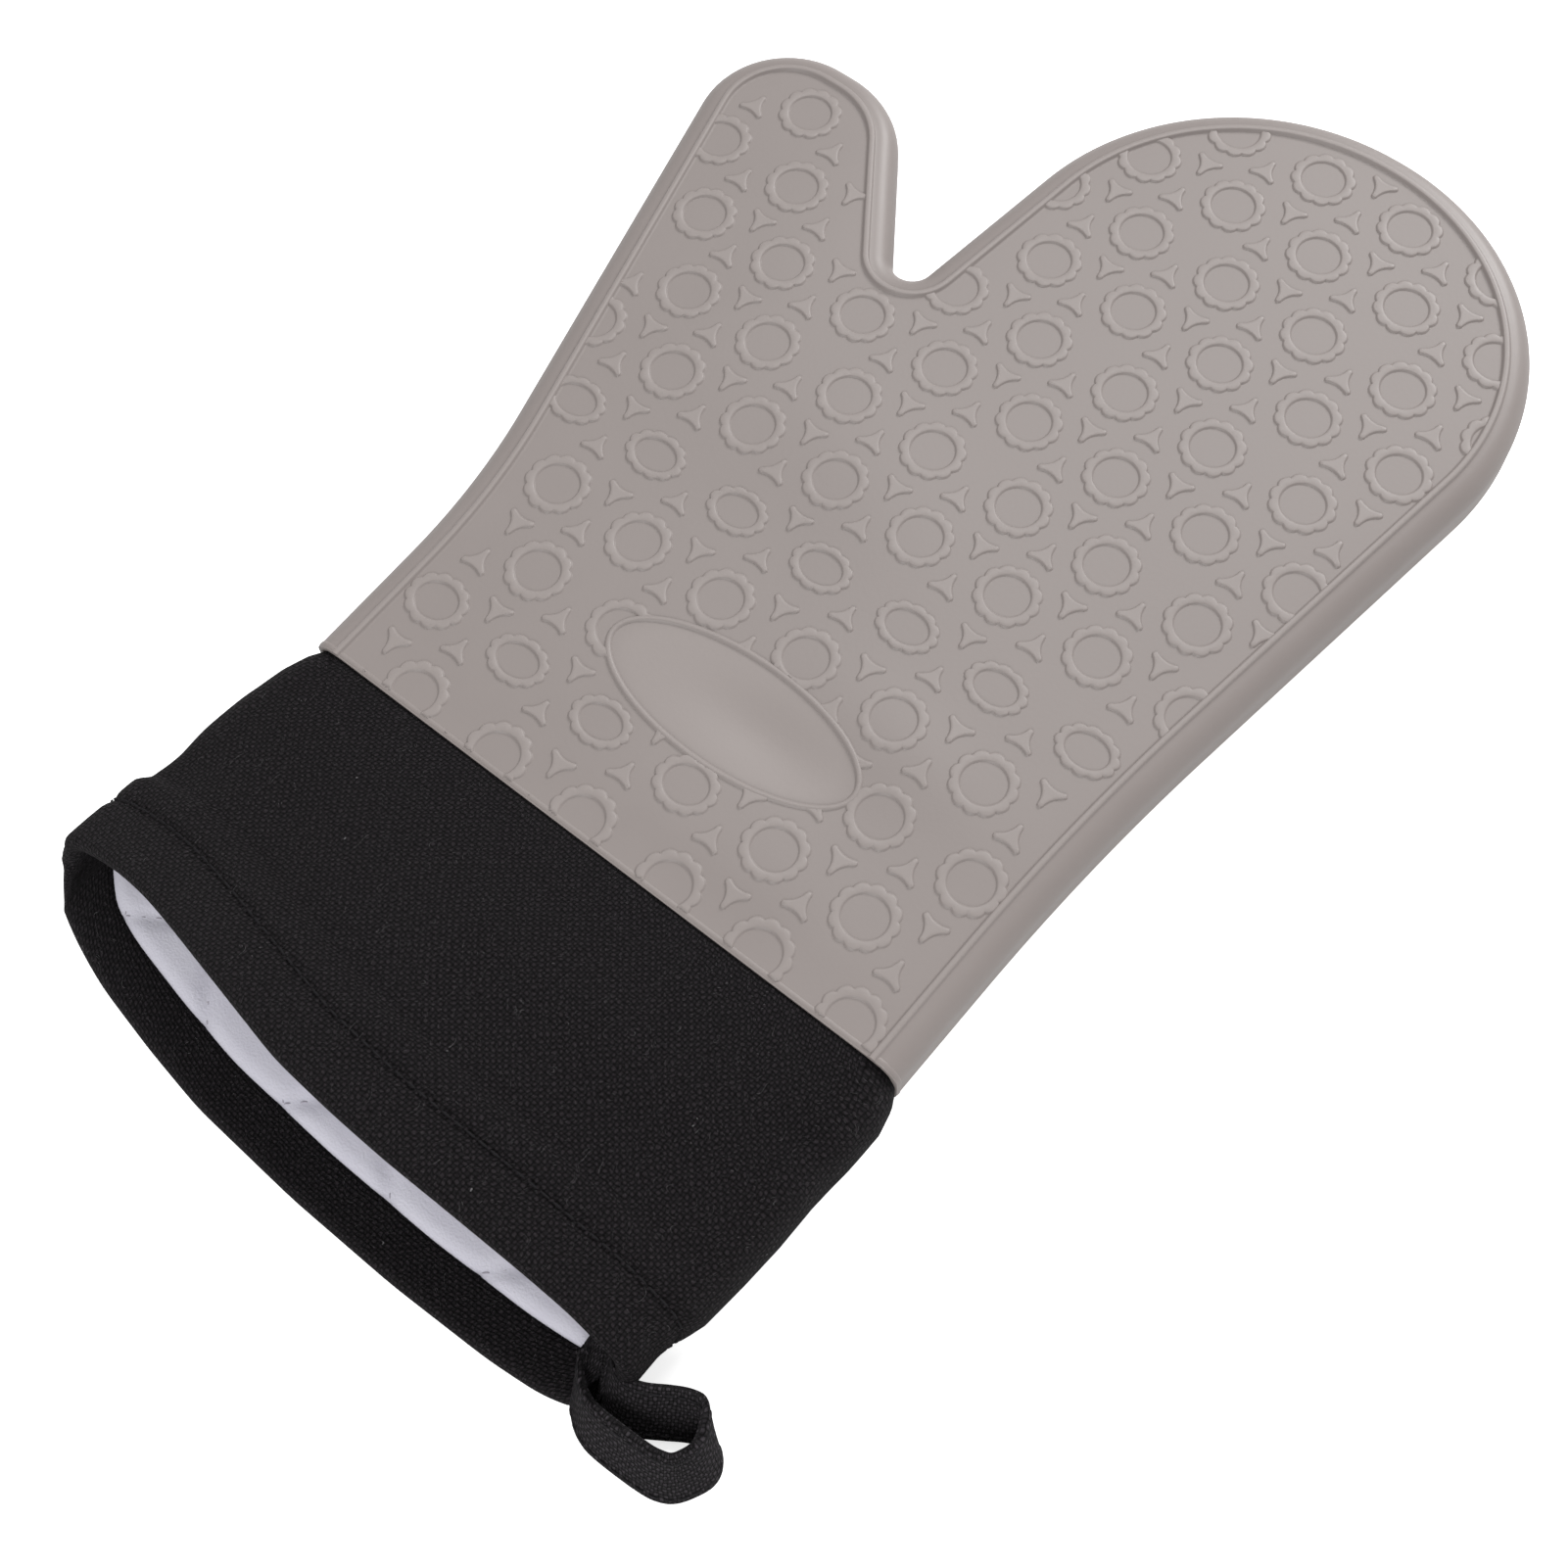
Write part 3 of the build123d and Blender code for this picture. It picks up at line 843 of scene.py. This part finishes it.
def make_hem_stitches():
    """One row of stitches round the cuff, in the hem's groove."""
    thread = Pile()
    points, normals = cuff_at(fold_y + HEM_SEAM, SEAM_SINK)
    points = points + normals * folds(points)[:, None]
    points = np.vstack([points, points[:1]])
    normals = np.vstack([normals, normals[:1]])
    run = lengths(points)
    stitch, halfway, pitch, end_gap = 2.5, 1.2, 3.1, 3
    for start in np.arange(0, run[-1] - end_gap, pitch):
        out = unit(between(start + halfway, run, normals))
        add_stitch(thread, between(start, run, points), between(start + stitch, run, points), out, THREAD)
    return thread.make("hem_stitches")


# Hanging loop of folded canvas tape: how its width leans on the table, at its root and at its far end
WALL_LEAN = np.array([-0.3, 0.55, 0.78])
ROOT_LEAN = np.array([-0.35, 0.8, 0.48])
END_LEAN = np.array([-0.45, 0.22, 0.75])
# Lower edge of the tape: x, y, z, how much it leans as at its root, how much as at its far end
TAPE_PATH = np.array([
    (69.6, -79.5, 6.5, 1, 0), (68.8, -82.4, 6.3, 1, 0), (68.2, -84.8, 6, 1, 0), (68.2, -87.4, 5, 0.8, 0),
    (69.2, -89.6, 3.5, 0.5, 0), (71.3, -91.4, 2, 0.2, 0), (73.8, -92.5, 1, 0.05, 0), (77, -93, 0.5, 0, 0),
    (83.6, -92.8, 0.5, 0, 0), (89.6, -92.2, 0.5, 0, 0.05), (92.8, -91.2, 0.5, 0, 0.15),
    (95, -89.6, 0.5, 0, 0.4), (96.9, -86.8, 0.5, 0, 0.8), (98.4, -83.2, 0.5, 0, 1), (98, -80.4, 0.5, 0, 1),
    (96, -78.2, 0.5, 0, 0.8), (93.2, -77.8, 0.5, 0.1, 0.45), (89.4, -79.7, 0.5, 0.2, 0.15),
    (85.6, -82.3, 0.5, 0.3, 0), (81.4, -85, 0.6, 0.3, 0), (77.6, -86.6, 1.2, 0.4, 0),
    (74.4, -86.6, 3, 0.6, 0), (72.2, -85.2, 5, 0.9, 0), (71.8, -82.6, 6.3, 1, 0), (72.6, -79.5, 6.5, 1, 0),
])
# Half of the tape's section: distance from an edge, share of the half thickness
TAPE_EDGE = [(0, 0), (0.05, 0.45), (0.3, 0.85), (0.8, 1.0), (1.6, 0.96), (3.0, 0.9)]
TAPE_MIDDLE = (6.2, 0.86)
TAPE_BACK = 20  # sets its back's cloth coordinates apart
TAPE_SEAMS = (1.5, 11.0)  # its two rows of stitches, from the lower edge
TAPE_SEAM_LEVEL = 0.96  # share of the half thickness there


def spline(points, steps):
    """Smooth curve through points."""
    padded = np.vstack([2 * points[0] - points[1], points, 2 * points[-1] - points[-2]])
    curve = []
    for i in range(1, len(padded) - 2):
        p0, p1, p2, p3 = padded[i - 1 : i + 3]
        bend = 2 * p0 - 5 * p1 + 4 * p2 - p3
        twist = 3 * p1 - p0 - 3 * p2 + p3
        for k in np.linspace(0, 1, steps, endpoint=False):
            curve.append(0.5 * (2 * p1 + (p2 - p0) * k + bend * k**2 + twist * k**3))
    return np.array(curve + [points[-1]])


track = spline(TAPE_PATH, 8)
tape_curve = track[:, :3]
tape_lean = WALL_LEAN + track[:, 3:4] * (ROOT_LEAN - WALL_LEAN) + track[:, 4:5] * (END_LEAN - WALL_LEAN)
tape_lean = unit_rows(tape_lean)
tape_out = unit_rows(np.cross(np.gradient(tape_curve, axis=0), tape_lean))
tape_run = lengths(tape_curve)


def make_tape():
    front = TAPE_EDGE + [TAPE_MIDDLE] + [(TAPE_WIDE - across, share) for across, share in TAPE_EDGE[::-1]]
    section = front + [(across, -share) for across, share in front[-2:0:-1]]
    points, uv = [], []
    for place, lean, out, along in zip(tape_curve, tape_lean, tape_out, tape_run):
        for across, share in section:
            points.append(place + lean * across + out * TAPE_HALF * share)
            uv.append((along, across + (0 if share >= 0 else TAPE_BACK)))
    size = len(section)
    faces = grid(len(tape_curve), size, closed=True)
    faces += [tuple(range(size))[::-1], tuple(range(len(points) - size, len(points)))]
    return make_mesh("hanging_loop_tape", points, faces, uv)


def make_tape_stitches():
    """Two rows of stitches on both sides of the tape."""
    thread = Pile()
    stitch, pitch, start_gap, end_gap = 2.3, 2.9, 2, 4
    for across in TAPE_SEAMS:
        for side in (-1, 1):
            for start in np.arange(start_gap, tape_run[-1] - end_gap, pitch):
                ends = []
                for at in (start, start + stitch):
                    place, lean, out = [between(at, tape_run, v) for v in (tape_curve, tape_lean, tape_out)]
                    ends.append(place + lean * across + side * out * TAPE_HALF * TAPE_SEAM_LEVEL)
                add_stitch(thread, ends[0], ends[1], side * unit(out), TAPE_THREAD)
    return thread.make("loop_stitches")


silicone_shell = make_silicone()
cuff = make_cuff()
quilted_lining = make_lining()
quilting_stitches = make_quilting()
hem_stitches = make_hem_stitches()
tape = make_tape()
tape_stitches = make_tape_stitches()


# Materials
def srgb(*levels):
    """Linear colour from levels of 0 to 255."""
    linear = []
    for level in levels:
        c = level / 255
        linear.append(c / 12.92 if c <= 0.04045 else ((c + 0.055) / 1.055) ** 2.4)
    return tuple(linear) + (1,)


BLACK = (0, 0, 0, 1)
WHITE = (1, 1, 1, 1)
SILICONE_TONES = srgb(136, 128, 125), srgb(142, 134, 131)
# painted light: a lighter tone for the tops of the rib, rings and stars and for the oval plate
SILICONE_PAINTED_LIGHT = srgb(145, 137, 134)
CANVAS_TONES = srgb(44, 40, 43), srgb(30, 28, 30)
LINT = srgb(150, 148, 150)
TAPE_TONES = srgb(64, 60, 64), srgb(42, 40, 42)
LINING_TONES = srgb(213, 211, 223), srgb(223, 222, 231)
BLACK_THREAD = srgb(30, 29, 31)
GREY_THREAD = srgb(176, 172, 182)
CANVAS_PITCH = 0.92  # between two threads of the weave
TAPE_PITCH = 0.82


class Look:
    """Short way to build a node material."""

    def __init__(self, name, roughness, specular):
        self.material = bpy.data.materials.new(name)
        self.material.use_nodes = True
        self.tree = self.material.node_tree
        self.shader = self.tree.nodes["Principled BSDF"]
        self.put("Roughness", roughness)
        self.put("Specular IOR Level", specular)

    def set_input(self, node, key, value):
        """Link an input to a socket, or set it to a constant."""
        if isinstance(value, bpy.types.NodeSocket):
            self.tree.links.new(value, node.inputs[key])
        else:
            node.inputs[key].default_value = value

    def put(self, key, value):
        self.set_input(self.shader, key, value)

    def node(self, kind, inputs=None, **settings):
        node = self.tree.nodes.new(kind)
        for key, value in settings.items():
            setattr(node, key, value)
        for key, value in (inputs or {}).items():
            self.set_input(node, key, value)
        return node

    def noise(self, where, scale, detail, roughness=0.5):
        inputs = {"Vector": where, "Scale": scale, "Detail": detail, "Roughness": roughness}
        return self.node("ShaderNodeTexNoise", inputs).outputs

    def math(self, operation, a, b=0.0, c=0.0):
        return self.node("ShaderNodeMath", {0: a, 1: b, 2: c}, operation=operation).outputs[0]

    def vector(self, operation, a, b):
        return self.node("ShaderNodeVectorMath", {0: a, 1: b}, operation=operation).outputs[0]

    def mix(self, factor, a, b):
        """Mix of two colours: inputs 6 and 7 and output 2 are the mix node's colour sockets."""
        return self.node("ShaderNodeMix", {0: factor, 6: a, 7: b}, data_type="RGBA").outputs[2]

    def bump(self, height, strength, distance):
        inputs = {"Height": height, "Strength": strength, "Distance": distance}
        self.put("Normal", self.node("ShaderNodeBump", inputs).outputs["Normal"])


def silicone_look():
    look = Look("moulded silicone", roughness=0.5, specular=0.36)
    where = look.node("ShaderNodeTexCoord").outputs["Object"]
    cloud = look.noise(where, scale=35.0, detail=4.0, roughness=0.6)["Fac"]
    fine = look.noise(where, scale=900.0, detail=3.0, roughness=0.6)["Fac"]
    # painted light: raised tops and the oval plate mix towards a lighter tone, as if more light fell on
    # them
    raised = look.node("ShaderNodeAttribute", attribute_name="raised").outputs["Fac"]
    look.put("Base Color", look.mix(raised, look.mix(cloud, *SILICONE_TONES), SILICONE_PAINTED_LIGHT))
    look.put("Roughness", look.math("MULTIPLY_ADD", cloud, 0.1, 0.41))
    look.bump(fine, strength=0.12, distance=0.0002)
    return look.material


def with_lint(look, uv, colour, lint):
    """Colour with sparse short fibres of lint over it."""
    curl = look.noise(uv, scale=0.05, detail=1.0)["Fac"]
    angle = look.math("MULTIPLY", curl, 9.0)
    spun = look.node("ShaderNodeVectorRotate", {"Vector": uv, "Angle": angle}, rotation_type="Z_AXIS")
    thin = look.vector("MULTIPLY", spun.outputs[0], (0.06, 0.2, 0))
    fibre = look.node("ShaderNodeTexVoronoi", {"Vector": thin, "Scale": 1.0}, voronoi_dimensions="2D")
    near = look.math("LESS_THAN", fibre.outputs["Distance"], 0.04)
    return look.mix(look.math("MULTIPLY", near, 0.45), colour, lint)


def weave_look(name, warp, weft, pitch, lint=None):
    """Plain weave from the cloth's own coordinates in millimetres, with painted shade where the threads
    dip.
    """
    look = Look(name, roughness=0.9, specular=0.1)
    uv = look.node("ShaderNodeUVMap", uv_map="cloth").outputs["UV"]
    wobble = look.noise(uv, scale=0.35, detail=2.0)["Color"]
    moved = look.vector("ADD", uv, look.vector("MULTIPLY", wobble, (1.5, 1.5, 1.5)))
    across, along, _ = look.node("ShaderNodeSeparateXYZ", {"Vector": moved}).outputs
    warp_wave = look.math("SINE", look.math("MULTIPLY", across, math.pi / pitch))
    weft_wave = look.math("SINE", look.math("MULTIPLY", along, math.pi / pitch))
    weft_over = look.math("GREATER_THAN", look.math("MULTIPLY", warp_wave, weft_wave), 0.0)
    warp_round = look.math("POWER", look.math("ABSOLUTE", warp_wave), 0.6)
    weft_round = look.math("POWER", look.math("ABSOLUTE", weft_wave), 0.6)
    fuzz = look.noise(uv, scale=3.2, detail=5.0, roughness=0.7)["Fac"]
    patch = look.noise(uv, scale=1.1, detail=2.0, roughness=0.8)["Fac"]
    uneven = look.math("MULTIPLY_ADD", patch, 2.4, -0.3)
    height = look.math("MULTIPLY", look.math("MULTIPLY", weft_round, warp_round), uneven)
    # painted shade: darker where the threads dip between each other, lighter where fuzz lies
    gap_shade = look.math("MULTIPLY_ADD", fuzz, -1.1, look.math("MULTIPLY_ADD", height, -1.3, 1.6))
    gap_shade = look.math("MINIMUM", look.math("MAXIMUM", gap_shade, 0.0), 0.92)
    colour = look.mix(gap_shade, look.mix(weft_over, warp, weft), BLACK)
    if lint:
        colour = with_lint(look, uv, colour, lint)
    look.put("Base Color", colour)
    grain = look.math("MULTIPLY_ADD", fuzz, 0.6, look.math("MULTIPLY", height, 0.75))
    look.bump(grain, strength=1.0, distance=0.0005)
    look.put("Sheen Weight", 0.02)
    look.put("Sheen Roughness", 0.5)
    return look.material


def thread_look(name, colour, specular):
    look = Look(name, roughness=0.8, specular=specular)
    look.put("Base Color", colour)
    return look.material


def lining_look():
    look = Look("quilted cotton", roughness=0.9, specular=0.2)
    where = look.node("ShaderNodeTexCoord").outputs["Object"]
    cloud = look.noise(where, scale=120.0, detail=4.0)["Fac"]
    fine = look.noise(where, scale=1800.0, detail=3.0)["Fac"]
    look.put("Base Color", look.mix(cloud, *LINING_TONES))
    look.bump(fine, strength=0.5, distance=0.0003)
    return look.material


black_thread = thread_look("black thread", BLACK_THREAD, specular=0.15)
for piece, material in (
    (silicone_shell, silicone_look()),
    (cuff, weave_look("black canvas", *CANVAS_TONES, CANVAS_PITCH, LINT)),
    (tape, weave_look("canvas tape", *TAPE_TONES, TAPE_PITCH)),
    (hem_stitches, black_thread),
    (tape_stitches, black_thread),
    (quilted_lining, lining_look()),
    (quilting_stitches, thread_look("grey thread", GREY_THREAD, specular=0.3)),
):
    piece.data.materials.append(material)

# What each piece stands for
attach(silicone_shell, "mitt")
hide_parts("silicone_shell")
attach(cuff, "mitt")
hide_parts("cuff_top", "cuff_bottom")
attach(quilted_lining, "mitt")
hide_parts("lining_top", "lining_bottom", "batting_top", "batting_bottom")
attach(quilting_stitches, "mitt")
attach(hem_stitches, "mitt")
for piece in (tape, tape_stitches):
    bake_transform(piece)
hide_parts("hanging_loop", "loop_root")


# Floor
FLOOR_HALF = 2500.0
FLOOR_Z = -0.35
FLOOR_GLOW = 0.75  # makes the floor white for the camera, and lights nothing


def floor_look():
    look = Look("white floor", roughness=1.0, specular=0.0)
    look.put("Base Color", (0.9, 0.9, 0.9, 1))
    look.put("Emission Color", WHITE)
    seen = look.node("ShaderNodeLightPath").outputs["Is Camera Ray"]
    look.put("Emission Strength", look.math("MULTIPLY", seen, FLOOR_GLOW))
    return look.material


floor_corners = [(x * FLOOR_HALF, y * FLOOR_HALF, FLOOR_Z) for x, y in ((-1, -1), (1, -1), (1, 1), (-1, 1))]
floor = make_mesh("floor", floor_corners, [(0, 1, 2, 3)])
floor.data.materials.append(floor_look())

# Light
WORLD_STRENGTH = 0.42
# Lamps: name, place, the point that it faces, width, power in watts
LAMPS = [
    ("key", (0.1, 2.0, 1.1), (0, 0.08, 0), 0.8, 36),
    ("front", (0.3, -0.95, 0.7), (0, -0.05, 0), 0.8, 9),
    ("fill", (-0.3, 0.77, 1.15), (0.03, 0.06, 0), 0.35, 4.5),
]

world = bpy.data.worlds.new("dome")
scene.world = world
world.use_nodes = True
background = world.node_tree.nodes["Background"].inputs
background["Color"].default_value = WHITE
background["Strength"].default_value = WORLD_STRENGTH

for name, place, goal, width, power in LAMPS:
    lamp_data = bpy.data.lights.new(name, "AREA")
    lamp_data.shape = "DISK"
    lamp_data.size = width
    lamp_data.energy = power
    lamp = bpy.data.objects.new(name, lamp_data)
    lamp.location = place
    lamp.rotation_euler = (Vector(goal) - Vector(place)).to_track_quat("-Z", "Y").to_euler()
    scene.collection.objects.link(lamp)

# Camera, standing where the rings' lattice looks as it does in the photograph
CAMERA_PLACE = (0.1528, -0.1045, 0.4438)
CAMERA_RIGHT = Vector((0.7785, 0.6268, -0.0336))
CAMERA_BACK = Vector((0.2807, -0.2998, 0.9118))

camera_data = bpy.data.cameras.new("camera")
camera_data.lens = 50.6
camera_data.sensor_width = 36
camera_data.clip_start = 0.01
camera = bpy.data.objects.new("camera", camera_data)
camera_right = (CAMERA_RIGHT - CAMERA_BACK * CAMERA_RIGHT.dot(CAMERA_BACK)).normalized()
camera_up = CAMERA_BACK.cross(camera_right).normalized()
camera_matrix = Matrix((camera_right, camera_up, CAMERA_BACK)).transposed().to_4x4()
camera_matrix.translation = CAMERA_PLACE
camera.matrix_world = camera_matrix
scene.collection.objects.link(camera)
scene.camera = camera
scene.view_settings.view_transform = "Standard"
